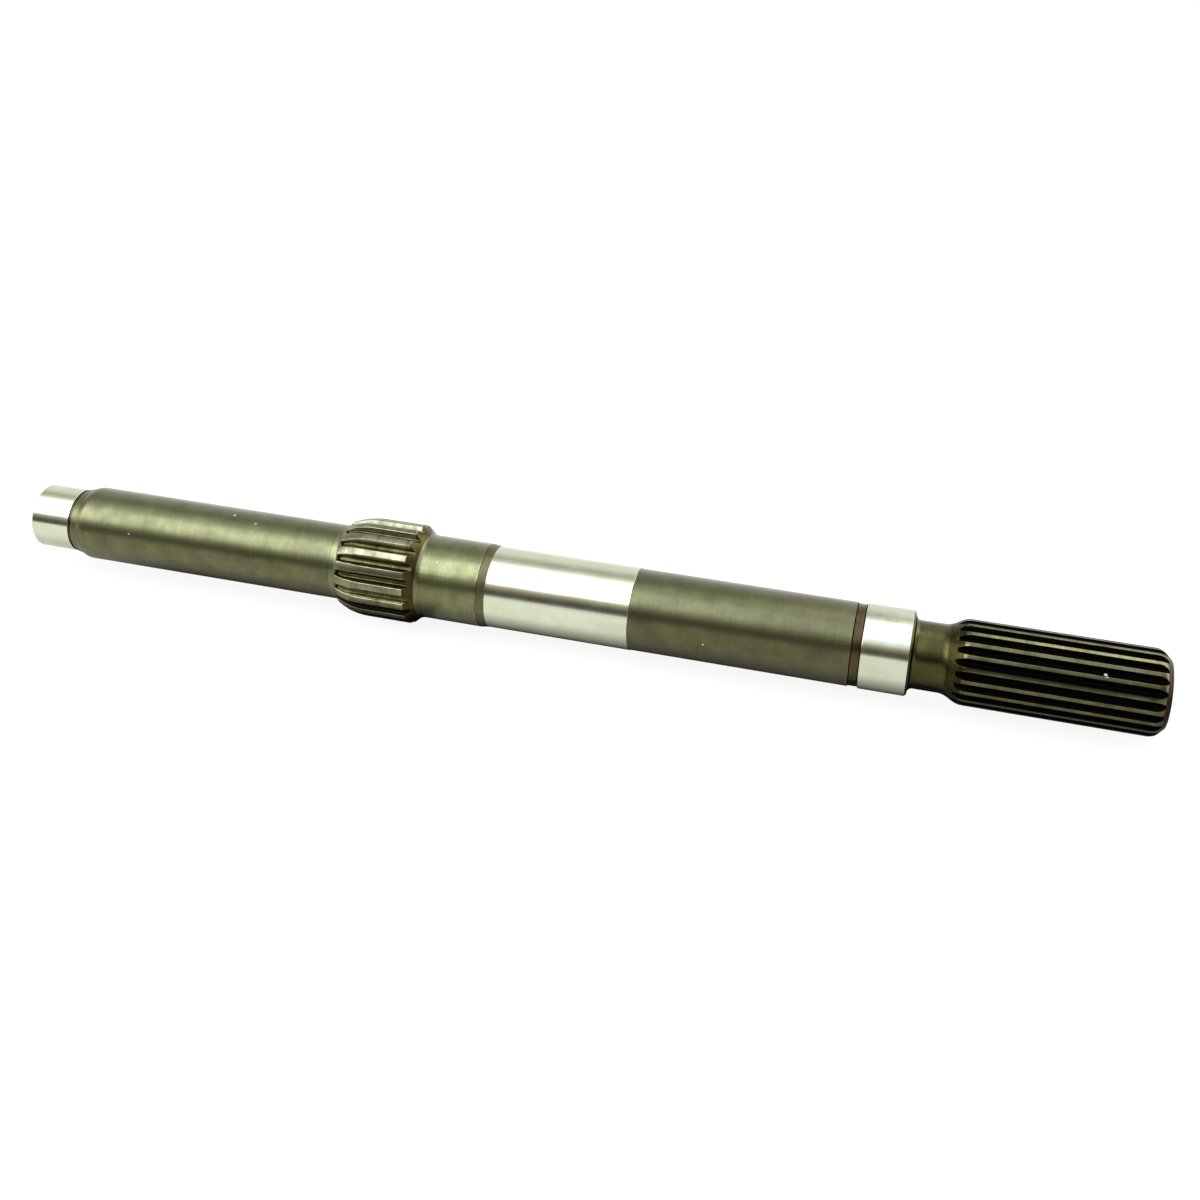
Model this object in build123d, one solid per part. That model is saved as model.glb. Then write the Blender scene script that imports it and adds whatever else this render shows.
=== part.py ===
from build123d import *
import os
from math import acos, cos, pi, radians, sin, tan

# Splined shaft: one bar of steel, turned, with its two splines cut and its journals ground.
# It lies along the X axis, with the front, the long spline's end, towards +X.
# The origin is on the axis, in the middle of the front journal.
# All lengths are millimetres and all angles degrees.

# ---- rear journal, its grinding relief, the cone and the shoulder up to the rear body
rear_journal_dia = 28.2
rear_journal_length = 18.8
rear_journal_chamfer = 1.0
relief_width = 1.6
relief_depth = 0.4
relief_corner = 0.3
cone_small_dia = 28.9
cone_large_dia = 30.2
cone_length = 3.0
shoulder_length = 2.8

# ---- rear body, left unground
rear_body_dia = 32.7
rear_body_length = 125.0
rear_body_blend = 6.0

# ---- block spline, the short and large one
block_teeth = 18
block_pitch_dia = 41.9
block_tip_dia = 43.2
block_root_dia = 38.4
block_root_blend = 0.6
block_gap_angle = 0.0  # first tooth gap, turned from +Y towards +Z
block_length = 32.2  # rear face to the start of the front chamfer
block_rear_blend = 2.0
block_lead_length = 6.8
block_lead_drop = 3.0
block_lead_crown = 26.0
block_front_angle = 42.0
block_front_crown = 1.5
block_front_blend = 6.5

# ---- collar in front of the block spline
collar_dia = 36.1
collar_length = 27.7
collar_cone_length = 3.8

# ---- ground zone, front body and the groove behind the front journal
ground_zone_dia = 35.0
ground_zone_length = 62.2
front_body_dia = 34.6
front_body_length = 91.5
groove_dia = 33.8
groove_width = 4.1

# ---- front journal and the neck in front of it
front_journal_dia = 35.0
front_journal_length = 19.7
front_journal_chamfer = 0.6
neck_dia = 28.0
neck_length = 14.0
neck_rear_blend = 2.0
neck_front_blend = 3.0

# ---- front spline, the long one
# It has a tooth on +Y, where the block spline has a gap, so both splines are symmetrical
# about the XY plane.
front_teeth = 21
front_pitch_dia = 33.6
front_tip_dia = 34.9
front_root_dia = 31.2
front_root_blend = 0.4
front_gap_angle = 180 / front_teeth
front_spline_length = 85.0
front_lead_angle = 30.0
front_lead_crown = 3.0
front_end_chamfer = 3.8
front_end_crown = 6.0

# ---- centre holes, drilled in both ends for turning and grinding between centres
centre_mouth_dia = 8.5
centre_pilot_dia = 4.0
centre_cone_angle = 60.0
centre_pilot_length = 5.0
drill_point_angle = 118.0

pressure_angle = 30.0
wall_share = 0.95  # how much of the wall beside a corner its blend may take
cutter_overrun = 1.0  # how far a tooth-gap cutter passes the tips and the ends of its spline

# ---- stations along the axis from the rear end face, worked out from the lengths above
relief_x = rear_journal_length
cone_x = relief_x + relief_width
shoulder_x = cone_x + cone_length
rear_body_x = shoulder_x + shoulder_length
block_x = rear_body_x + rear_body_length
block_front_x = block_x + block_length
collar_x = block_front_x + (block_tip_dia - collar_dia) / 2 / tan(radians(block_front_angle))
collar_cone_x = collar_x + collar_length
ground_zone_x = collar_cone_x + collar_cone_length
front_body_x = ground_zone_x + ground_zone_length
groove_x = front_body_x + front_body_length
front_journal_x = groove_x + groove_width
neck_x = front_journal_x + front_journal_length
front_spline_x = neck_x + neck_length
front_lead_x = front_spline_x + (front_tip_dia - neck_dia) / 2 / tan(radians(front_lead_angle))
shaft_length = front_spline_x + front_spline_length
origin_x = (front_journal_x + neck_x - front_journal_chamfer) / 2


def turned_outline():
    """Corners of the half section, rear to front, each as (x, radius, blend radius)."""
    rear_journal = rear_journal_dia / 2
    relief = rear_journal - relief_depth
    rear_body = rear_body_dia / 2
    block_tip = block_tip_dia / 2
    collar = collar_dia / 2
    ground_zone = ground_zone_dia / 2
    front_body = front_body_dia / 2
    groove = groove_dia / 2
    front_journal = front_journal_dia / 2
    neck = neck_dia / 2
    front_tip = front_tip_dia / 2
    return [
        (0, 0, 0),
        (0, rear_journal - rear_journal_chamfer, 0),
        (rear_journal_chamfer, rear_journal, 0),
        (relief_x, rear_journal, 0),
        (relief_x, relief, 0),
        (cone_x, relief, relief_corner),
        (cone_x, cone_small_dia / 2, 0),
        (shoulder_x, cone_large_dia / 2, 0),
        (rear_body_x, rear_body, rear_body_blend),
        (block_x, rear_body, block_rear_blend),
        (block_x, block_tip - block_lead_drop, 0),
        (block_x + block_lead_length, block_tip, block_lead_crown),
        (block_front_x, block_tip, block_front_crown),
        (collar_x, collar, block_front_blend),
        (collar_cone_x, collar, 0),
        (ground_zone_x, ground_zone, 0),
        (front_body_x, ground_zone, 0),
        (front_body_x, front_body, 0),
        (groove_x, front_body, 0),
        (groove_x, groove, 0),
        (front_journal_x, groove, 0),
        (front_journal_x, front_journal, 0),
        (neck_x - front_journal_chamfer, front_journal, 0),
        (neck_x, front_journal - front_journal_chamfer, 0),
        (neck_x, neck, neck_rear_blend),
        (front_spline_x, neck, neck_front_blend),
        (front_lead_x, front_tip, front_lead_crown),
        (shaft_length - front_end_chamfer, front_tip, front_end_crown),
        (shaft_length, front_tip - front_end_chamfer, 0),
        (shaft_length, 0, 0),
    ]


def blend_on_walls(before, corner, after):
    """A corner's blend radius, smaller where one of its two walls is too short to hold it.

    A wall with a blend at both of its ends has half its length for each.
    """
    blend = corner[2]
    if blend == 0:
        return 0
    wall_in = Vector(corner[0] - before[0], corner[1] - before[1])
    wall_out = Vector(after[0] - corner[0], after[1] - corner[1])
    turn = radians(wall_in.get_angle(wall_out))
    room_in = wall_in.length / 2 if before[2] else wall_in.length
    room_out = wall_out.length / 2 if after[2] else wall_out.length
    return min(blend, wall_share * min(room_in, room_out) / tan(turn / 2))


def turned_blank():
    """The shaft as it leaves the lathe, before its splines are cut."""
    corners = turned_outline()
    neighbours = zip([corners[-1]] + corners[:-1], corners, corners[1:] + [corners[0]])
    blends = [blend_on_walls(before, corner, after) for before, corner, after in neighbours]
    with BuildPart() as blank:
        with BuildSketch(Plane.XZ):
            with BuildLine():
                FilletPolyline(
                    [(x, radius) for x, radius, blend in corners],
                    radius=blends,
                    close=True,
                )
            make_face()
        revolve(axis=Axis.X)
    return blank.part


def involute(angle):
    """Involute function of an angle in radians."""
    return tan(angle) - angle


def half_gap(radius, teeth, pitch_dia):
    """Half the angle, in radians, that one tooth gap spans at a radius."""
    base_radius = pitch_dia / 2 * cos(radians(pressure_angle))
    spread = involute(acos(base_radius / radius)) - involute(radians(pressure_angle))
    return pi / (2 * teeth) + spread


def gap_section(teeth, pitch_dia, tip_dia, root_dia, root_blend):
    """Section of one tooth gap, open past the tips, with its middle on the local X axis."""
    root = root_dia / 2
    outside = tip_dia / 2 + cutter_overrun

    def flank_point(radius, side):
        angle = side * half_gap(radius, teeth, pitch_dia)
        return (radius * cos(angle), radius * sin(angle))

    def flank(side):
        middle = (root + outside) / 2
        return ThreePointArc(
            flank_point(root, side), flank_point(middle, side), flank_point(outside, side)
        )

    with BuildSketch() as section:
        with BuildLine():
            low = flank(-1)
            high = flank(1)
            ThreePointArc(low @ 0, (root, 0), high @ 0)
            Line(low @ 1, high @ 1)
        make_face()
        fillet(section.vertices().sort_by(Axis.X)[:2], root_blend)
    return section.sketch


def spline_cutter(section, teeth, gap_angle, start_x, end_x):
    """All the tooth gaps of one spline, as straight bars from start_x to end_x."""
    with BuildPart() as cutter:
        with BuildSketch(Plane.YZ.offset(start_x)):
            with PolarLocations(0, teeth, start_angle=gap_angle):
                add(section)
        extrude(amount=end_x - start_x)
    return cutter.part


def centre_hole():
    """Drill shape of one centre hole, with its mouth on the YZ plane and its point at +X."""
    mouth = centre_mouth_dia / 2
    pilot = centre_pilot_dia / 2
    cone_depth = (mouth - pilot) / tan(radians(centre_cone_angle / 2))
    pilot_depth = cone_depth + centre_pilot_length
    point_depth = pilot_depth + pilot / tan(radians(drill_point_angle / 2))
    with BuildPart() as drill:
        with BuildSketch(Plane.XZ):
            with BuildLine():
                Polyline(
                    (0, 0), (0, mouth), (cone_depth, pilot), (pilot_depth, pilot), (point_depth, 0),
                    close=True,
                )
            make_face()
        revolve(axis=Axis.X)
    return drill.part


def splined_shaft():
    """The finished shaft, moved so that its origin is in the middle of the front journal."""
    block_gap = gap_section(
        block_teeth, block_pitch_dia, block_tip_dia, block_root_dia, block_root_blend
    )
    front_gap = gap_section(
        front_teeth, front_pitch_dia, front_tip_dia, front_root_dia, front_root_blend
    )
    shaft = turned_blank()
    shaft -= spline_cutter(
        block_gap, block_teeth, block_gap_angle, block_x - cutter_overrun, collar_x + cutter_overrun
    )
    shaft -= spline_cutter(
        front_gap, front_teeth, front_gap_angle,
        front_spline_x - cutter_overrun, shaft_length + cutter_overrun,
    )
    rear_centre = centre_hole()
    shaft -= rear_centre
    shaft -= Pos(shaft_length, 0, 0) * rear_centre.mirror(Plane.YZ)
    return Pos(-origin_x, 0, 0) * shaft


os.makedirs("parts", exist_ok=True)
export_step(splined_shaft(), "parts/splined_shaft.step")
print("length", shaft_length, "origin from the rear end", origin_x)
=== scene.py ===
from math import acos, ceil, cos, pi, radians, sin, tan

import bpy
from mathutils import Matrix, Vector


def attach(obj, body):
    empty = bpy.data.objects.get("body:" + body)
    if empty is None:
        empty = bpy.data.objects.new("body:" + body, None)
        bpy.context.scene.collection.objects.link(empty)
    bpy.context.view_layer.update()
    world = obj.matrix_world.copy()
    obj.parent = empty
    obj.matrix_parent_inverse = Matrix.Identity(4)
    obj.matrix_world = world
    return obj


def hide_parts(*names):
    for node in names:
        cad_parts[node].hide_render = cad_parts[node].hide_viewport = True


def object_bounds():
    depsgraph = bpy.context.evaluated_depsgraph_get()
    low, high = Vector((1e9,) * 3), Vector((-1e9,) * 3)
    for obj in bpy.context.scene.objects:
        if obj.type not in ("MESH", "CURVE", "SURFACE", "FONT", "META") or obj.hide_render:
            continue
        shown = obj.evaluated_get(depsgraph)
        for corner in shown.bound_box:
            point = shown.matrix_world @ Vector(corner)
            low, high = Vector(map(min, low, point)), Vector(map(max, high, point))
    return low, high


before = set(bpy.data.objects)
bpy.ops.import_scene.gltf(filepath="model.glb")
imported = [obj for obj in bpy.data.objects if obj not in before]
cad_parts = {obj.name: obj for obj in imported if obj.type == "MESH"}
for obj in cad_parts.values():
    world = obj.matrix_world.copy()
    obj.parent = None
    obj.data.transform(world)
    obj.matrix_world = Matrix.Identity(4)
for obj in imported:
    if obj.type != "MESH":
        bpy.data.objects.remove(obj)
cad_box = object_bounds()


# ---- Steel of the bar -----------------------------------------------------------------------
# The shaft is one bar of hardened steel. Its ground bands are bright, and the rest keeps an olive
# skin that is thinner in places, with fine rings from the tool and soft blotches. Round its
# underside it is painted darker, as shade.
MM = 0.001


def wire(tree, source, target):
    tree.links.new(source, target)


def maths(tree, operation, first, second=None):
    node = tree.nodes.new("ShaderNodeMath")
    node.operation = operation
    for socket, value in zip(node.inputs, (first, second)):
        if isinstance(value, (int, float)):
            socket.default_value = value
        elif value is not None:
            wire(tree, value, socket)
    return node.outputs[0]


def vector_maths(tree, operation, first, second=(0, 0, 0)):
    node = tree.nodes.new("ShaderNodeVectorMath")
    node.operation = operation
    wire(tree, first, node.inputs[0])
    node.inputs[1].default_value = second
    return node.outputs["Value" if operation == "DISTANCE" else "Vector"]


def ranged(tree, value, low, high, start=0.0, end=1.0, smooth=False):
    """A value moved from the range low to high into the range start to end, and held there."""
    node = tree.nodes.new("ShaderNodeMapRange")
    node.interpolation_type = "SMOOTHSTEP" if smooth else "LINEAR"
    numbers = {"From Min": low, "From Max": high, "To Min": start, "To Max": end}
    for socket, number in numbers.items():
        node.inputs[socket].default_value = number
    wire(tree, value, node.inputs["Value"])
    return node.outputs["Result"]


def mixed_colour(tree, share, first, second):
    """The first colour, with a share of a second one."""
    node = tree.nodes.new("ShaderNodeMix")
    node.data_type = "RGBA"
    share_in, first_in, second_in = node.inputs[0], node.inputs[6], node.inputs[7]
    wire(tree, share, share_in)
    wire(tree, first, first_in)
    second_in.default_value = (*second, 1)
    return node.outputs[2]


def worked_steel_group():
    """Rings left by the tool, blotches in the skin, and how far round the underside a spot is."""
    group = bpy.data.node_groups.new("worked_steel", "ShaderNodeTree")
    face = group.interface
    for name, value in (("Ring Pitch", 0.4), ("Blotch Size", 14.0), ("Ring Depth", 0.2)):
        socket = face.new_socket(name=name, in_out="INPUT", socket_type="NodeSocketFloat")
        socket.default_value = value
    for name in ("Underside", "Blotches", "Rings"):
        face.new_socket(name=name, in_out="OUTPUT", socket_type="NodeSocketFloat")
    face.new_socket(name="Normal", in_out="OUTPUT", socket_type="NodeSocketVector")
    inlet = group.nodes.new("NodeGroupInput")
    outlet = group.nodes.new("NodeGroupOutput")
    place = group.nodes.new("ShaderNodeTexCoord").outputs["Object"]

    def noise(stretch, size, detail):
        """Noise of a size in millimetres, drawn out along the axes where the stretch is small."""
        node = group.nodes.new("ShaderNodeTexNoise")
        node.inputs["Detail"].default_value = detail
        wire(group, vector_maths(group, "MULTIPLY", place, stretch), node.inputs["Vector"])
        wire(group, maths(group, "DIVIDE", 1.0, size), node.inputs["Scale"])
        return node

    round_the_bar = (1000, 60, 60)
    even = (1000, 1000, 1000)
    rings = noise(round_the_bar, inlet.outputs["Ring Pitch"], detail=3)
    blotches = noise(even, inlet.outputs["Blotch Size"], detail=4)
    blotches.inputs["Roughness"].default_value = 0.55
    outward = vector_maths(group, "NORMALIZE", vector_maths(group, "MULTIPLY", place, (0, 1, 1)))
    outward_parts = group.nodes.new("ShaderNodeSeparateXYZ")
    wire(group, outward, outward_parts.inputs[0])
    bump = group.nodes.new("ShaderNodeBump")
    bump.inputs["Distance"].default_value = 0.02 * MM
    wire(group, inlet.outputs["Ring Depth"], bump.inputs["Strength"])
    wire(group, rings.outputs["Fac"], bump.inputs["Height"])
    underside = maths(group, "MULTIPLY", outward_parts.outputs["Z"], -1.0)
    wire(group, underside, outlet.inputs["Underside"])
    wire(group, blotches.outputs["Fac"], outlet.inputs["Blotches"])
    wire(group, rings.outputs["Fac"], outlet.inputs["Rings"])
    wire(group, bump.outputs["Normal"], outlet.inputs["Normal"])
    return group


worked_steel = worked_steel_group()
ring_share = 0.3
noise_middle = 0.5
thick_at, thin_at = 0.32, 0.68
thickest_at, thinnest_at = 0.3, 0.7
bare_steel = (0.9, 0.9, 0.8)
nick_fades_from, nick_fades_to = 0.3, 0.6
coat_roughness = 0.3
# The colour, gloss and raggedness of the painted shade on the underside.
underside_shade_colour = (0.004, 0.0035, 0.002)
underside_shade_gloss = 0.03
underside_shade_raggedness = 0.3


def steel_finish(
    name, thin, thick, rough, ring_pitch, blotch_size, ring_depth,
    coat=0.0, underside_shade=None, nicks=(), metallic=1.0, gloss=0.5,
):
    """A finish of the bar: the skin's colours where thin and thick, its roughness where thick and
    thin, and the size in millimetres of its rings and blotches.

    The underside shade is painted shade: the colour goes dark, dull and less metallic round the
    underside, given by how far round it starts and where it is full (1 is the lowest line). A nick
    is a bare spot, given by its place and its width in millimetres.
    """
    material = bpy.data.materials.new(name)
    material.use_nodes = True
    tree = material.node_tree
    shader = tree.nodes["Principled BSDF"]
    worked = tree.nodes.new("ShaderNodeGroup")
    worked.node_tree = worked_steel
    worked.inputs["Ring Pitch"].default_value = ring_pitch
    worked.inputs["Blotch Size"].default_value = blotch_size
    worked.inputs["Ring Depth"].default_value = ring_depth
    rings = maths(tree, "MULTIPLY", worked.outputs["Rings"], ring_share)
    blotches = maths(tree, "MULTIPLY", worked.outputs["Blotches"], 1 - ring_share)
    thinness = maths(tree, "ADD", blotches, rings)

    skin = tree.nodes.new("ShaderNodeValToRGB")
    thick_stop, thin_stop = skin.color_ramp.elements
    thick_stop.position, thick_stop.color = thick_at, (*thick, 1)
    thin_stop.position, thin_stop.color = thin_at, (*thin, 1)
    wire(tree, thinness, skin.inputs["Fac"])
    colour = skin.outputs["Color"]
    for *spot, width in nicks:
        place = tree.nodes.new("ShaderNodeTexCoord").outputs["Object"]
        away = vector_maths(tree, "DISTANCE", place, [value * MM for value in spot])
        bare = ranged(tree, away, nick_fades_to * width * MM, nick_fades_from * width * MM)
        colour = mixed_colour(tree, bare, colour, bare_steel)

    shader.inputs["Metallic"].default_value = metallic
    shader.inputs["Specular IOR Level"].default_value = gloss
    shader.inputs["Coat Weight"].default_value = coat
    shader.inputs["Coat Roughness"].default_value = coat_roughness
    # Painted shade: round the underside the colour goes dark, dull and less metallic.
    if underside_shade:
        ragged = maths(tree, "SUBTRACT", worked.outputs["Blotches"], noise_middle)
        ragged = maths(tree, "MULTIPLY", ragged, underside_shade_raggedness)
        round_to = maths(tree, "ADD", worked.outputs["Underside"], ragged)
        shade_share = ranged(tree, round_to, *underside_shade, smooth=True)
        unshaded_share = maths(tree, "SUBTRACT", 1.0, shade_share)
        colour = mixed_colour(tree, shade_share, colour, underside_shade_colour)
        wire(tree, unshaded_share, shader.inputs["Metallic"])
        wire(tree, maths(tree, "MULTIPLY", unshaded_share, coat), shader.inputs["Coat Weight"])
        shader.inputs["Specular IOR Level"].default_value = underside_shade_gloss
    wire(tree, colour, shader.inputs["Base Color"])
    roughness = ranged(tree, thinness, thickest_at, thinnest_at, *rough)
    wire(tree, roughness, shader.inputs["Roughness"])
    wire(tree, worked.outputs["Normal"], shader.inputs["Normal"])
    return material


# ---- Centre holes ---------------------------------------------------------------------------
# A hole with a 60 degree cone is drilled in each end, and the bar is turned and ground between
# them. From the first hole, the half section runs corner by corner to the front end.
rear_end = cad_box[0].x / MM
shaft_length = (cad_box[1].x - cad_box[0].x) / MM
edge_break = 0.15
centre_mouth = 8.5 / 2
centre_pilot = 4.0 / 2
centre_pilot_length = 5.0
centre_cone_angle = radians(60)
drill_point_angle = radians(118)
centre_cone_depth = (centre_mouth - centre_pilot) / tan(centre_cone_angle / 2)
centre_depth = centre_cone_depth + centre_pilot_length
centre_point_depth = centre_depth + centre_pilot / tan(drill_point_angle / 2)
ground_steel = steel_finish(
    "ground_steel", (0.68, 0.71, 0.575), (0.60, 0.63, 0.465), (0.06, 0.17),
    ring_pitch=0.3, blotch_size=7, ring_depth=0.12,
)
# Painted shade, with some old oil: the gaps, corners, walls and centre holes are painted near
# black. It isn't metal, and gives back almost no light.
oil_and_shade_black = steel_finish(
    "oil_and_shade_black", (0.0007, 0.0006, 0.0005), (0.0005, 0.0004, 0.0003), (0.75, 0.45),
    ring_pitch=0.4, blotch_size=6, ring_depth=0.2, metallic=0.0, gloss=0.02,
    nicks=[(83.7, -10.6, 12.1, 1.5), (81.3, 2.0, 15.8, 1.3)],
)
corners = []


def turn(x, radius, finish, blend=edge_break, teeth=None):
    """Adds a corner of the half section. The wall after it has this finish and these teeth."""
    corners.append({"x": x, "r": radius, "blend": blend, "finish": finish, "teeth": teeth})


turn(centre_point_depth, 0, oil_and_shade_black, blend=0)
turn(centre_depth, centre_pilot, oil_and_shade_black, blend=0)
turn(centre_cone_depth, centre_pilot, ground_steel, blend=0)
turn(0, centre_mouth, ground_steel, blend=0.1)


# ---- Rear journal ---------------------------------------------------------------------------
# The small end of the bar, ground bright for a bearing. Behind it a relief for the grinding wheel
# is turned, and a short cone leads up to the shoulder. Both keep a brown skin.
rear_journal = 28.2 / 2
rear_journal_length = 18.8
rear_chamfer = 1.0
relief_width = 1.6
relief_depth = 0.4
cone_start = 28.9 / 2
cone_end = 30.2 / 2
cone_length = 3.0
shoulder_length = 2.8
relief = rear_journal - relief_depth
cone_x = rear_journal_length + relief_width
shoulder_x = cone_x + cone_length
rear_body_x = shoulder_x + shoulder_length
neck_skin = steel_finish(
    "neck_skin", (0.074, 0.068, 0.014), (0.022, 0.019, 0.001), (0.18, 0.26),
    ring_pitch=0.4, blotch_size=8, ring_depth=0.35, coat=0.3, underside_shade=(0.20, 0.48),
)
turned_cone = steel_finish(
    "turned_cone", (0.150, 0.148, 0.068), (0.080, 0.074, 0.022), (0.28, 0.38),
    ring_pitch=0.4, blotch_size=6, ring_depth=0.4, coat=0.2, underside_shade=(0.36, 0.72),
)
turn(0, rear_journal - rear_chamfer, ground_steel)
turn(rear_chamfer, rear_journal, ground_steel)
turn(rear_journal_length, rear_journal, oil_and_shade_black, blend=0.1)
turn(rear_journal_length, relief, neck_skin, blend=0.1)
turn(cone_x, relief, turned_cone, blend=0.3)
turn(cone_x, cone_start, turned_cone, blend=0.2)
turn(shoulder_x, cone_end, turned_cone, blend=0.3)


# ---- Rear body ------------------------------------------------------------------------------
# The long rear length between the shoulder and the block spline. It is turned and not ground, so
# it keeps its dark olive skin. Just before the spline, a lighter band is a painted highlight.
rear_body = 32.7 / 2
rear_body_length = 125.0
painted_flare_length = 3.5
block_x = rear_body_x + rear_body_length
olive_skin = steel_finish(
    "olive_skin", (0.134, 0.138, 0.046), (0.064, 0.066, 0.015), (0.37, 0.28),
    ring_pitch=0.5, blotch_size=8, ring_depth=0.7, coat=0.8, underside_shade=(0.25, 1.05),
    nicks=[
        (-335.0, -14.8, 6.9, 1.0), (-289.1, -1.1, 16.3, 1.2), (-277.4, -4.3, 15.8, 0.9),
        (-356.3, -15.9, 3.9, 0.35),
    ],
)
collar_skin = steel_finish(
    "collar_skin", (0.176, 0.187, 0.072), (0.086, 0.092, 0.022), (0.34, 0.25),
    ring_pitch=0.5, blotch_size=7, ring_depth=0.7, coat=0.8, underside_shade=(0.30, 1.30),
    nicks=[(-190.2, -10.2, 14.9, 0.35)],
)
turn(rear_body_x, rear_body, olive_skin, blend=6.0)
# Painted highlight: the last few millimetres before the spline take the lighter collar skin.
turn(block_x - painted_flare_length, rear_body, collar_skin, blend=0)
turn(block_x, rear_body, collar_skin, blend=2.0)


# ---- Block spline ---------------------------------------------------------------------------
# The short, large spline: eighteen involute teeth, hobbed into the bar, with worn crests and brown
# flanks. Its crests start with a long lead, and end in a chamfer that runs out into the collar.
pressure_angle = radians(30)
block_tip = 43.18 / 2
block_length = 32.2
block_lead_length = 6.8
block_lead_drop = 3.0
block_front_angle = radians(42)
block_front_x = block_x + block_length
collar = 36.1 / 2
collar_x = block_front_x + (block_tip - collar) / tan(block_front_angle)
open_gap_depth = 1.7
open_gap_share = 0.6
least_depth = 0.3
least_root_blend = 0.09
least_edge = 0.07
root_blend_share = 0.3
edge_share = 0.25
worn_crest = steel_finish(
    "worn_crest", (0.290, 0.288, 0.188), (0.105, 0.100, 0.045), (0.31, 0.18),
    ring_pitch=0.6, blotch_size=5, ring_depth=0.3, underside_shade=(0.50, 0.80),
)
block_front = steel_finish(
    "block_front", (0.078, 0.064, 0.022), (0.024, 0.018, 0.003), (0.34, 0.26),
    ring_pitch=0.6, blotch_size=6, ring_depth=0.3, underside_shade=(0.36, 0.60),
)
brown_gap = steel_finish(
    "brown_gap", (0.105, 0.093, 0.036), (0.030, 0.025, 0.006), (0.32, 0.22),
    ring_pitch=0.6, blotch_size=5, ring_depth=0.3, underside_shade=(0.14, 0.36),
)
# The faces of one pitch are counted from crest to crest, and its gap faces have the gap's finish.
block = {
    "count": 18, "pitch": 41.9 / 2, "root": 38.4 / 2, "root_blend": 0.6, "edge": 0.3,
    "first_gap": 0.0, "gap_faces": range(9, 20), "gap_finish": brown_gap,
    "open_to": block_x + block_lead_length,
}
turn(block_x, block_tip - block_lead_drop, worn_crest, blend=0.4, teeth=block)
turn(block_x + block_lead_length, block_tip, worn_crest, blend=26.0, teeth=block)
turn(block_front_x, block_tip, block_front, blend=1.5, teeth=block)


def involute(angle):
    return tan(angle) - angle


def half_gap(teeth, radius):
    """Half the angle that a tooth gap spans at a radius."""
    base = teeth["pitch"] * cos(pressure_angle)
    spread = involute(acos(min(1, base / radius))) - involute(pressure_angle)
    return pi / (2 * teeth["count"]) + spread


def gap_floor(teeth, x, crest):
    """Radius of a gap's floor. Along a worn lead, the gap stays open as the crest falls away."""
    if x < teeth["open_to"]:
        return min(teeth["root"], crest - open_gap_depth)
    return teeth["root"]


def bend(start, corner, end, shares):
    """Points on the quadratic curve that rounds a corner."""
    weights = [((1 - t) ** 2, 2 * t * (1 - t), t ** 2) for t in shares]
    ways = list(zip(start, corner, end))
    return [tuple(u * a + v * b + w * c for a, b, c in ways) for u, v, w in weights]


def half_profile(teeth, x, crest):
    """(angle, radius) points from the middle of a gap to the middle of the next crest."""
    root = gap_floor(teeth, x, crest)
    depth = crest - root
    root_blend, edge = least_root_blend, least_edge
    if depth > least_depth:
        root_blend = min(teeth["root_blend"], root_blend_share * depth)
        edge = min(teeth["edge"], edge_share * depth)
    top = max(crest, root + least_depth)
    kept_width = open_gap_share * (block_tip - crest) if x < teeth["open_to"] else 0

    def flank(radius):
        return (half_gap(teeth, radius + kept_width), radius)

    def from_flank(radius, length):
        """The point a length round from the flank, on the circle of a radius."""
        return (flank(radius)[0] + length / radius, radius)

    low, high = root + root_blend, top - edge
    crest_start = from_flank(top, edge)
    crest_middle = pi / teeth["count"]
    points = [(0.0, root), from_flank(root, -root_blend)]
    points += bend(from_flank(root, -root_blend), flank(root), flank(low), (1 / 3, 2 / 3))
    points += [flank(low + (high - low) * share) for share in (0, 1 / 3, 2 / 3, 1)]
    points += bend(flank(high), flank(top), crest_start, (0.25, 0.5, 0.75))
    points += [crest_start, ((crest_start[0] + crest_middle) / 2, top), (crest_middle, top)]
    return [(angle, min(radius, crest)) for angle, radius in points]


# ---- Collar ---------------------------------------------------------------------------------
# A plain seat in front of the block spline, turned on the same bar, with a narrow cone down to the
# ground zone. Its skin is brown at the spline's foot, and worn through on the edge of the cone.
collar_length = 27.7
collar_cone_length = 3.8
foot_length = 2.9
worn_width = 0.5
shaded_width = 0.3
ground_zone = 35.0 / 2
collar_cone_x = collar_x + collar_length
ground_zone_x = collar_cone_x + collar_cone_length
collar_cone_slope = (collar - ground_zone) / collar_cone_length
brown_foot = steel_finish(
    "brown_foot", (0.165, 0.166, 0.066), (0.080, 0.074, 0.020), (0.33, 0.25),
    ring_pitch=0.5, blotch_size=7, ring_depth=0.4, coat=0.8, underside_shade=(0.36, 0.58),
)
brown_groove = steel_finish(
    "brown_groove", (0.096, 0.070, 0.021), (0.035, 0.023, 0.003), (0.20, 0.28),
    ring_pitch=0.3, blotch_size=5, ring_depth=0.3, coat=0.3, underside_shade=(0.26, 0.50),
)
turn(collar_x, collar, brown_foot, blend=6.5, teeth=block)
turn(collar_x + foot_length, collar, collar_skin, blend=0)
turn(collar_cone_x - worn_width, collar, worn_crest, blend=0)
turn(collar_cone_x, collar, brown_groove)
turn(collar_cone_x + shaded_width, collar - shaded_width * collar_cone_slope, turned_cone, blend=0)


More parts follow.
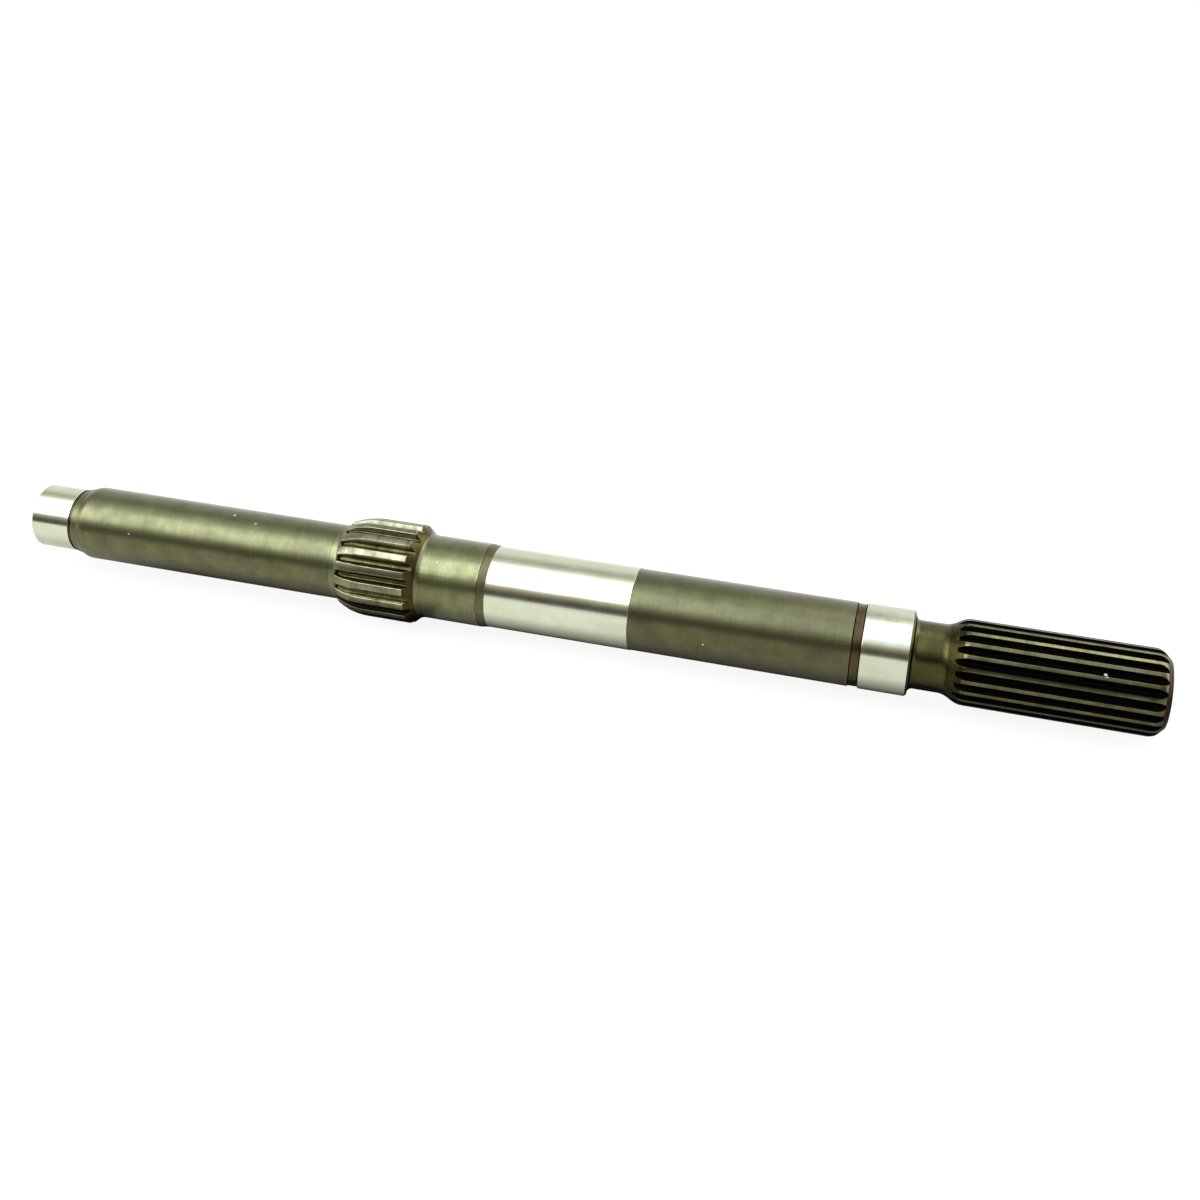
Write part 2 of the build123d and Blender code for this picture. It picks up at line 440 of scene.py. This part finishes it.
# ---- Ground zone and front body -------------------------------------------------------------
# A long band of bright steel, ground for a bush or a seal, and then the front body, a hair smaller
# and only turned, which keeps its dark olive skin.
ground_zone_length = 62.2
front_body = 34.6 / 2
front_body_length = 91.5
front_body_x = ground_zone_x + ground_zone_length
groove_x = front_body_x + front_body_length
front_skin = steel_finish(
    "front_skin", (0.112, 0.112, 0.036), (0.054, 0.055, 0.012), (0.36, 0.27),
    ring_pitch=0.5, blotch_size=9, ring_depth=0.7, coat=0.8, underside_shade=(0.25, 1.15),
    nicks=[(-72.9, -17.3, 0.1, 0.7)],
)
turn(ground_zone_x, ground_zone, ground_steel, blend=0.1)
turn(front_body_x, ground_zone, front_skin, blend=0.08)
turn(front_body_x, front_body, front_skin, blend=0.08)


# ---- Groove and front journal ---------------------------------------------------------------
# A shallow groove is turned for the grinding wheel to run out in. Its brown floor is painted near
# black in the corners, as shade with some old oil. The front journal beside it is ground bright for
# a bearing.
groove = 33.8 / 2
groove_width = 4.1
oil_and_shade_corner = 0.45
front_journal = 35.0 / 2
front_journal_length = 19.7
front_journal_chamfer = 0.9
front_journal_x = groove_x + groove_width
neck_x = front_journal_x + front_journal_length
# Painted shade: the groove's walls and corners are near black.
turn(groove_x, front_body, oil_and_shade_black, blend=0.1)
turn(groove_x, groove, oil_and_shade_black, blend=0.12)
turn(groove_x + oil_and_shade_corner, groove, brown_groove, blend=0)
turn(front_journal_x - oil_and_shade_corner, groove, oil_and_shade_black, blend=0)
turn(front_journal_x, groove, oil_and_shade_black, blend=0.12)
turn(front_journal_x, front_journal, ground_steel)
turn(neck_x - front_journal_chamfer, front_journal, neck_skin)


# ---- Neck -----------------------------------------------------------------------------------
# The thin neck between the front journal and the front spline, turned down so that the cutter of
# the spline can run out. It keeps a dark brown skin.
neck = 28.0 / 2
neck_length = 14.0
plain_neck = 6.0
front_spline_x = neck_x + neck_length
turn(neck_x, front_journal - front_journal_chamfer, oil_and_shade_black, blend=0.2)
turn(neck_x, neck, neck_skin, blend=2.0)
turn(neck_x + plain_neck, neck, neck_skin, blend=0)


# ---- Front spline ---------------------------------------------------------------------------
# The long spline that takes the drive: twenty-one involute teeth, hobbed into the bar, with a lead
# at each end. It is dark all over, and between the teeth it is painted near black, as shade with
# some old oil.
front_tip = 34.9 / 2
front_lead_angle = radians(30)
front_end_chamfer = 3.8
bronze_length = 2.2
front_lead_x = front_spline_x + (front_tip - neck) / tan(front_lead_angle)
front_end = front_tip - front_end_chamfer
dark_lead = steel_finish(
    "dark_lead", (0.050, 0.045, 0.012), (0.014, 0.012, 0.002), (0.30, 0.40),
    ring_pitch=0.4, blotch_size=4, ring_depth=0.35, underside_shade=(0.30, 0.70),
)
dark_crest = steel_finish(
    "dark_crest", (0.155, 0.151, 0.079), (0.062, 0.058, 0.021), (0.25, 0.16),
    ring_pitch=0.6, blotch_size=7, ring_depth=0.3,
    nicks=[(81.9, -0.5, 17.4, 1.3), (84.0, -11.8, 12.8, 1.7), (74.7, -13.4, -11.1, 1.2)],
)
bronze_end = steel_finish(
    "bronze_end", (0.055, 0.026, 0.018), (0.015, 0.010, 0.008), (0.28, 0.40),
    ring_pitch=0.4, blotch_size=5, ring_depth=0.2,
)
# Painted shade: the gap faces of the front spline take the near black finish.
front = {
    "count": 21, "pitch": 33.6 / 2, "root": 31.2 / 2, "root_blend": 0.4, "edge": 0.22,
    "first_gap": pi / 21, "gap_faces": range(3, 23), "gap_finish": oil_and_shade_black, "open_to": 0,
}
turn(front_spline_x, neck, dark_lead, blend=9.0, teeth=front)
turn(front_lead_x, front_tip, dark_crest, blend=9.0, teeth=front)
turn(shaft_length - front_end_chamfer, front_tip, dark_crest, blend=6.0, teeth=front)
turn(shaft_length - bronze_length, front_end + bronze_length, bronze_end, blend=0, teeth=front)
turn(shaft_length, front_end, bronze_end, blend=0.5)
turn(shaft_length, centre_mouth, ground_steel, blend=0.1)
turn(shaft_length - centre_cone_depth, centre_pilot, oil_and_shade_black, blend=0)
turn(shaft_length - centre_depth, centre_pilot, oil_and_shade_black, blend=0)
turn(shaft_length - centre_point_depth, 0, oil_and_shade_black, blend=0)


# ---- The finished surface -------------------------------------------------------------------
# One closed skin over the whole bar. The half section becomes stations along the axis, each
# station a ring round it, plain or toothed, and each pair of rings is joined by a strip.
plain_count = 180
arc_step = radians(9)
large_blend = 5
least_bend = 0.01
wall_share = 0.96
lead_step = 0.5
least_climb = 0.2
least_gap_depth = 0.25


def blended_corner(before, here, after):
    """Points of the arc that rounds one corner of the half section."""
    spot = Vector((here["x"], here["r"]))
    back = Vector((before["x"], before["r"])) - spot
    ahead = Vector((after["x"], after["r"])) - spot
    turned = pi - back.angle(ahead) if back.length and ahead.length else 0
    if here["blend"] == 0 or turned < least_bend:
        return [spot]
    room = wall_share * min(back.length, ahead.length)
    tangent = min(here["blend"] * tan(turned / 2), room)
    blend = tangent / tan(turned / 2)
    start = spot + back.normalized() * tangent
    end = spot + ahead.normalized() * tangent
    inward = (back.normalized() + ahead.normalized()).normalized()
    centre = spot + inward * (blend / cos(turned / 2))
    steps = max(2, ceil(turned / arc_step))
    if here["blend"] > large_blend:
        steps *= 2
    first = start - centre
    sweep = first.angle_signed(end - centre)
    return [centre + Matrix.Rotation(-sweep * i / steps, 2) @ first for i in range(steps + 1)]


stations = []
for before, here, after in zip(corners[:1] + corners, corners, corners[1:] + corners[-1:]):
    arc = blended_corner(before, here, after)
    if stations and before["teeth"]:
        last = Vector(stations[-1][:2])
        if abs(last.y - arc[0].y) > least_climb:
            steps = ceil((arc[0] - last).length / lead_step)
            climb = [last.lerp(arc[0], i / steps) for i in range(1, steps)]
            stations += [(spot.x, spot.y, before["finish"], before["teeth"]) for spot in climb]
    for i, spot in enumerate(arc):
        side = here if i >= len(arc) / 2 - 0.5 else before
        stations.append((spot.x, spot.y, side["finish"], here["teeth"] or before["teeth"]))


def ring(x, radius, teeth):
    """(x, radius, angle) round the shaft at one station."""
    if radius == 0:
        return [(x, 0.0, 0.0)]
    if not teeth:
        return [(x, radius, 2 * pi * i / plain_count) for i in range(plain_count)]
    half = half_profile(teeth, x, radius)
    pitch = 2 * pi / teeth["count"]
    one_gap = [(-a, r) for a, r in reversed(half[1:])] + half[:-1]
    gap_middles = [teeth["first_gap"] + pitch * k for k in range(teeth["count"])]
    return [(x, r, middle + a) for middle in gap_middles for a, r in one_gap]


vertices = []
faces = []
face_finishes = []


def add_ring(points):
    """(number, angle) of each vertex that a ring adds to the mesh."""
    first = len(vertices)
    for x, r, a in points:
        vertices.append(((x + rear_end) * MM, r * cos(a) * MM, r * sin(a) * MM))
    return [(first + i, a) for i, (x, r, a) in enumerate(points)]


def nearest_start(points, angle):
    """The ring turned round so that it starts nearest to an angle."""
    gap = [abs((a - angle + pi) % (2 * pi) - pi) for _, a in points]
    start = gap.index(min(gap))
    return points[start:] + points[:start]


def fan(hub, rim, finish):
    """Faces from the one point at the bottom of a centre hole to the ring round it."""
    for i in range(len(rim)):
        faces.append([hub[0][0], rim[i][0], rim[(i + 1) % len(rim)][0]])
        face_finishes.append(finish)


def even_strip(a, b, finish, teeth, deep):
    """Faces between two rings with the same points, with the gap's own finish where it is deep."""
    per_gap = len(a) // teeth["count"] if teeth else 1
    for i in range(len(a)):
        j = (i + 1) % len(a)
        faces.append([a[i][0], a[j][0], b[j][0], b[i][0]])
        in_gap = deep and i % per_gap in teeth["gap_faces"]
        face_finishes.append(teeth["gap_finish"] if in_gap else finish)


def uneven_strip(a, b, finish):
    """Faces between two rings with different points, always stepping on along the one behind."""
    b = nearest_start(b, a[0][1])
    tie = 0.01
    i = j = 0
    while i < len(a) or j < len(b):
        next_a = (a[(i + 1) % len(a)][1] - a[0][1]) % (2 * pi) or 2 * pi
        next_b = (b[(j + 1) % len(b)][1] - a[0][1] + tie) % (2 * pi) or 2 * pi
        if i < len(a) and (j >= len(b) or next_a <= next_b):
            faces.append([a[i][0], a[(i + 1) % len(a)][0], b[j % len(b)][0]])
            i += 1
        else:
            faces.append([a[i % len(a)][0], b[(j + 1) % len(b)][0], b[j][0]])
            j += 1
        face_finishes.append(finish)


rings = [add_ring(ring(x, r, teeth)) for x, r, finish, teeth in stations]
for (x, r, finish, teeth), (next_x, next_r, _, next_teeth), a, b in zip(
    stations, stations[1:], rings, rings[1:]
):
    same = teeth if teeth is next_teeth else None
    if len(a) == 1 or len(b) == 1:
        fan(*sorted((a, b), key=len), finish)
    elif len(a) == len(b):
        deep = same and min(r, next_r) - gap_floor(same, x, r) > least_gap_depth
        even_strip(a, b, finish, same, deep)
    else:
        uneven_strip(a, b, finish)

surface = bpy.data.meshes.new("splined_shaft_surface")
surface.from_pydata(vertices, [], faces)
slots = {}
for material in face_finishes:
    if material.name not in slots:
        slots[material.name] = len(slots)
        surface.materials.append(material)
surface.polygons.foreach_set("material_index", [slots[material.name] for material in face_finishes])
surface.polygons.foreach_set("use_smooth", [True] * len(faces))
shaft = bpy.data.objects.new("splined_shaft_surface", surface)
bpy.context.collection.objects.link(shaft)
normals = shaft.modifiers.new("even_shading", "WEIGHTED_NORMAL")
normals.weight = 100
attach(shaft, "root")
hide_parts("splined_shaft")


# ---- Bench ----------------------------------------------------------------------------------
# The shaft lies on a wide sheet of pale paper. The paper keeps the shaft's soft shadow. In the
# polished steel it shows a painted shadow close to the bar: its glow there is cut back, wider by
# the block, deeper towards the front, and lifted past the rear end.
bench_size = 3.0
bench_z = cad_box[0].z
shadow_start, shadow_end = 0.004, 0.0405
block_half_length = 0.022
block_shadow = 0.014
rear_shadow_start, rear_shadow_end = -0.318, -0.376
rear_light = 0.62
dimmed_start, dimmed_end = -0.15, -0.11
rear_glow, front_glow, seen_glow = 0.85, 0.73, 0.89
half = bench_size / 2
bench_corners = [(-half, -half), (half, -half), (half, half), (-half, half)]
bench_mesh = bpy.data.meshes.new("bench")
bench_mesh.from_pydata([(x, y, bench_z) for x, y in bench_corners], [], [(0, 1, 2, 3)])
bench = bpy.data.objects.new("bench", bench_mesh)
bpy.context.collection.objects.link(bench)
bench_paper = bpy.data.materials.new("bench_paper")
bench_paper.use_nodes = True
tree = bench_paper.node_tree
paper = tree.nodes["Principled BSDF"]
paper.inputs["Base Color"].default_value = (0.140, 0.133, 0.104, 1)
paper.inputs["Roughness"].default_value = 0.9
paper.inputs["Specular IOR Level"].default_value = 0.0
spot = tree.nodes.new("ShaderNodeSeparateXYZ")
wire(tree, tree.nodes.new("ShaderNodeTexCoord").outputs["Object"], spot.inputs[0])
from_shaft = maths(tree, "ABSOLUTE", spot.outputs["Y"])
block_middle = (block_x + collar_x) / 2 * MM + cad_box[0].x
by_block = maths(tree, "COMPARE", spot.outputs["X"], block_middle)
by_block.node.inputs[2].default_value = block_half_length
from_shaft = maths(tree, "SUBTRACT", from_shaft, maths(tree, "MULTIPLY", by_block, block_shadow))
# Painted shadow: close to the bar, the paper's glow in reflections is cut back.
bare = ranged(tree, from_shaft, shadow_start, shadow_end, smooth=True)
covered = maths(tree, "SUBTRACT", rear_light, maths(tree, "MULTIPLY", bare, rear_light))
past_end = ranged(tree, spot.outputs["X"], rear_shadow_start, rear_shadow_end, smooth=True)
bare = maths(tree, "ADD", bare, maths(tree, "MULTIPLY", past_end, covered))
dimmed = ranged(
    tree, spot.outputs["X"], dimmed_start, dimmed_end, rear_glow, front_glow, smooth=True
)
path = tree.nodes.new("ShaderNodeLightPath")
mirrored = maths(tree, "MULTIPLY", bare, dimmed)
mirrored = maths(tree, "MULTIPLY", path.outputs["Is Glossy Ray"], mirrored)
seen = maths(tree, "MAXIMUM", path.outputs["Is Camera Ray"], path.outputs["Is Transmission Ray"])
glow = maths(tree, "ADD", maths(tree, "MULTIPLY", seen, seen_glow), mirrored)
paper.inputs["Emission Color"].default_value = (1, 1, 1, 1)
wire(tree, glow, paper.inputs["Emission Strength"])
bench_mesh.materials.append(bench_paper)


# ---- Surround -------------------------------------------------------------------------------
# A white room with a wide soft light above and in front of the bench. Below the light, the dark
# edge of the room gives the bright journals their line.
world = bpy.data.worlds.new("surround")
bpy.context.scene.world = world
world.use_nodes = True
tree = world.node_tree
background = tree.nodes["Background"]
direction = tree.nodes.new("ShaderNodeTexCoord").outputs["Generated"]
parts = tree.nodes.new("ShaderNodeSeparateXYZ")
wire(tree, direction, parts.inputs[0])
along = parts.outputs["X"]
towards = maths(tree, "MULTIPLY", parts.outputs["Y"], -1.0)
height = maths(tree, "MULTIPLY", maths(tree, "ARCTAN2", parts.outputs["Z"], towards), 180 / pi)
# The light hangs a little out of line with the bar, so heights lean along it.
lean_angle = 22.0
lean_stops, lean_middle = -0.58, -0.24
lean = maths(tree, "SUBTRACT", maths(tree, "MAXIMUM", along, lean_stops), lean_middle)
rise = maths(tree, "SUBTRACT", height, maths(tree, "MULTIPLY", lean, lean_angle))
# The room's colour at each angle above the front horizon, in degrees: the bench, the dark edge,
# the light, the ceiling and the back wall.
room = [
    (-10, (1.0, 1.0, 1.0)), (4, (1.0, 1.0, 1.0)),
    (10, (0.20, 0.20, 0.18)), (17, (0.09, 0.09, 0.08)), (23, (0.15, 0.135, 0.11)),
    (29, (0.31, 0.27, 0.21)), (36, (0.56, 0.53, 0.46)), (42, (0.98, 1.0, 1.0)),
    (50, (0.95, 1.0, 1.16)), (96, (0.95, 1.0, 1.16)), (106, (0.98, 1.0, 1.0)),
    (126, (0.53, 0.55, 0.51)), (150, (0.96, 0.97, 0.93)), (190, (1.0, 1.0, 1.0)),
]
lowest, highest = room[0][0], room[-1][0]
surround = tree.nodes.new("ShaderNodeValToRGB")
stops = surround.color_ramp.elements
while len(stops) < len(room):
    stops.new(0.5)
for stop, (angle, colour) in zip(stops, room):
    stop.position = (angle - lowest) / (highest - lowest)
    stop.color = (*colour, 1)
wire(tree, ranged(tree, rise, lowest, highest), surround.inputs["Fac"])


def window(value, low, high, soft):
    """One between low and high, falling to nothing over a soft edge."""
    rising = ranged(tree, value, low - soft, low + soft, smooth=True)
    falling = ranged(tree, value, high + soft, high - soft, smooth=True)
    return maths(tree, "MULTIPLY", rising, falling)


# The near, far and front parts of the light: its power, then its low end, high end and soft edge,
# in degrees of height and, along the bar, as a cosine.
strength = 1.0
for power, heights, lengths in (
    (3.4, (44, 88, 6), (-1.3, -0.16, 0.14)),
    (0.75, (50, 108, 8), (-1.3, 0.30, 0.15)),
    (4.5, (100, 140, 14), (0.04, 1.3, 0.04)),
):
    light = maths(tree, "MULTIPLY", window(rise, *heights), window(along, *lengths))
    strength = maths(tree, "ADD", maths(tree, "MULTIPLY", light, power), strength)
wire(tree, surround.outputs["Color"], background.inputs["Color"])
wire(tree, strength, background.inputs["Strength"])
backdrop = tree.nodes.new("ShaderNodeBackground")
backdrop.inputs["Color"].default_value = (1, 1, 1, 1)
backdrop.inputs["Strength"].default_value = 1.0
choice = tree.nodes.new("ShaderNodeMixShader")
wire(tree, tree.nodes.new("ShaderNodeLightPath").outputs["Is Camera Ray"], choice.inputs[0])
wire(tree, background.outputs["Background"], choice.inputs[1])
wire(tree, backdrop.outputs["Background"], choice.inputs[2])
wire(tree, choice.outputs["Shader"], tree.nodes["World Output"].inputs["Surface"])


# ---- Camera ---------------------------------------------------------------------------------
# The camera stands half a metre in front of the bar and looks down on it, with the bar falling
# away to the right. Its shift only frames the shaft.
camera_place = Vector((0.010473, -0.496486, 0.355075))
right = Vector((0.967822, 0.251198, 0.014835)).normalized()
ahead = Vector((-0.214298, 0.853684, -0.474658)).normalized()
up = right.cross(ahead).normalized()
camera_data = bpy.data.cameras.new("camera")
camera_data.sensor_width = 36.0
camera_data.lens = 43.74
camera_data.shift_x = -0.01545
camera_data.shift_y = -0.13178
camera_data.clip_start = 0.01
camera = bpy.data.objects.new("camera", camera_data)
bpy.context.collection.objects.link(camera)
turned_to = Matrix((right, up, -ahead)).transposed().to_4x4()
camera.matrix_world = Matrix.Translation(camera_place) @ turned_to
bpy.context.scene.camera = camera
bpy.context.scene.view_settings.view_transform = "Standard"
